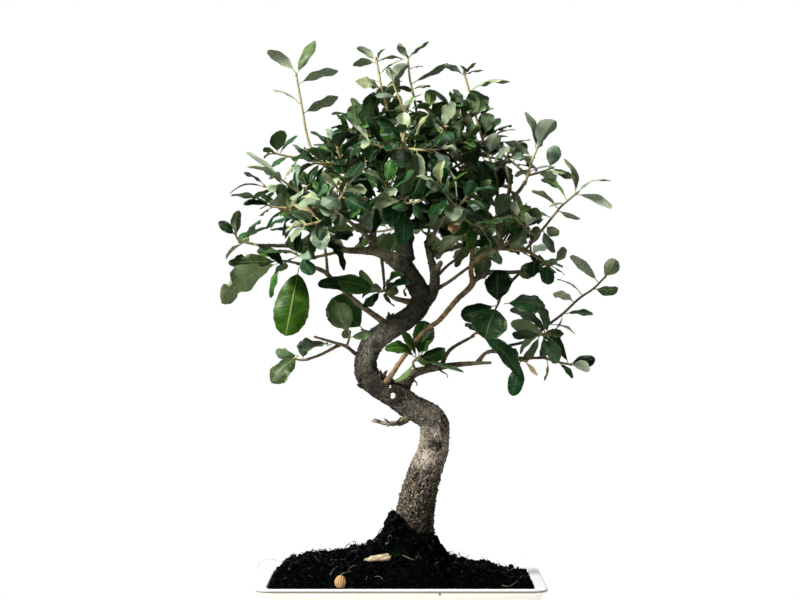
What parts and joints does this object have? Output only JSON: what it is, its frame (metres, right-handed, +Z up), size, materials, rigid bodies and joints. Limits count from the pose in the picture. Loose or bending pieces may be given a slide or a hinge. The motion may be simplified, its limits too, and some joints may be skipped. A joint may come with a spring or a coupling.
{
  "type": "potted bonsai tree",
  "caption": "Broadleaf bonsai with an S-curved trunk, leafy shoots and a mound of soil in a shallow rectangular glazed tray.",
  "frame": {"origin": "middle of the bounding box, on the surface that the pot's feet stand on", "axes": "+Z up, the longest way; +X to the right of someone who faces the front of the tree; -Y towards them"},
  "size_m": [0.3552, 0.2436, 0.5484],
  "materials": {
    "bark": "matte",
    "foliage": "satin",
    "soil": "matte",
    "husk": "matte",
    "chip": "matte",
    "glaze": "gloss",
    "screen": "matte"
  },
  "bodies": {
    "root": {"bark_chip": "chip", "drainage_screen_left": "screen", "drainage_screen_right": "screen", "pot": "glaze", "seed_husk": "husk", "shoot_back_left": "foliage", "shoot_back_left_low": "foliage", "shoot_back_low": "foliage", "shoot_back_right": "foliage", "shoot_back_right_low": "foliage", "shoot_back_top": "foliage", "shoot_branch_f_end": "foliage", "shoot_branch_g_end": "foliage", "shoot_centre_left_hanging": "foliage", "shoot_centre_right_bud": "foliage", "shoot_centre_right_round": "foliage", "shoot_crown_far_left": "foliage", "shoot_crown_right": "foliage", "shoot_dark_right": "foliage", "shoot_dark_right_inner": "foliage", "shoot_front_centre": "foliage", "shoot_front_left": "foliage", "shoot_front_right": "foliage", "shoot_front_top": "foliage", "shoot_grey_right_end": "foliage", "shoot_inner_low": "foliage", "shoot_inner_spur": "foliage", "shoot_junction_left": "foliage", "shoot_leader_left_high": "foliage", "shoot_leader_left_low": "foliage", "shoot_leader_right_end": "foliage", "shoot_leader_right_low": "foliage", "shoot_left_branch_end": "foliage", "shoot_left_upper_back": "foliage", "shoot_left_upper_long": "foliage", "shoot_left_upper_pale": "foliage", "shoot_link_end": "foliage", "shoot_long_hanging": "foliage", "shoot_low_left": "foliage", "shoot_low_left_upright": "foliage", "shoot_right_arm": "foliage", "shoot_right_dark_cluster": "foliage", "shoot_right_hanging": "foliage", "shoot_right_low_tip": "foliage", "shoot_right_stem_top": "foliage", "shoot_right_tall": "foliage", "shoot_right_upper": "foliage", "shoot_riser_end": "foliage", "shoot_top_left": "foliage", "shoot_top_mid": "foliage", "shoot_top_mid_left": "foliage", "shoot_top_mid_right": "foliage", "shoot_top_right": "foliage", "shoot_trunk_spur": "foliage", "shoot_upper_left_back": "foliage", "shoot_upper_left_front": "foliage", "shoot_upper_left_side": "foliage", "shoot_upright_left_top": "foliage", "soil_mound": "soil", "trunk_and_branches": "bark"}
  },
  "joints": []
}
